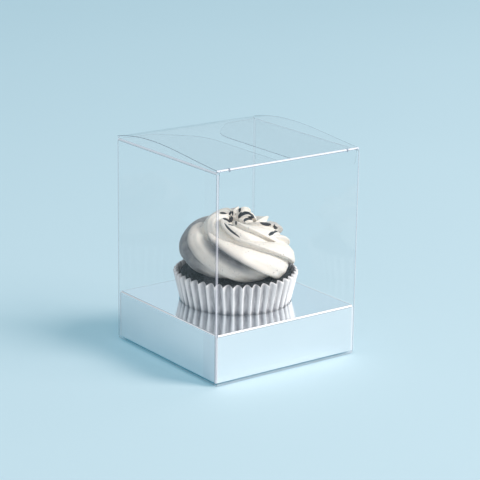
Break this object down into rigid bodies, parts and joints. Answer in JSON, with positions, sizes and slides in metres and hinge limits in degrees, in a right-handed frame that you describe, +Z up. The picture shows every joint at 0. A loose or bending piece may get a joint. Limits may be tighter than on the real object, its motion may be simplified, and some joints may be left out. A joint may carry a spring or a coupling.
{
  "type": "cupcake box",
  "caption": "Clear folding box with a hinged tuck lid and a silver card insert that holds an iced cupcake in a pleated paper cup.",
  "frame": {"origin": "middle of the foot, at the lowest level of the base", "axes": "+Z up, -Y the side where the lid tucks in, +Y the side where the lid turns"},
  "size_m": [0.09, 0.09, 0.1158],
  "materials": {
    "film": "clear gloss film",
    "silver_card": "mirror-like silver face",
    "cup_paper": "satin",
    "cake": "matt crumb",
    "icing": "soft satin"
  },
  "bodies": {
    "box": {"carton": "film", "insert": "silver_card", "cupcake_cup": "cup_paper", "cake": "cake", "icing": "icing"},
    "lid": {"lid": "film"}
  },
  "joints": [
    {"name": "lid_hinge", "type": "hinge", "parent": "box", "child": "lid", "pos_m": [0, 0.045, 0.11155], "axis": [-1, 0, 0], "range_deg": [0, 180]}
  ]
}
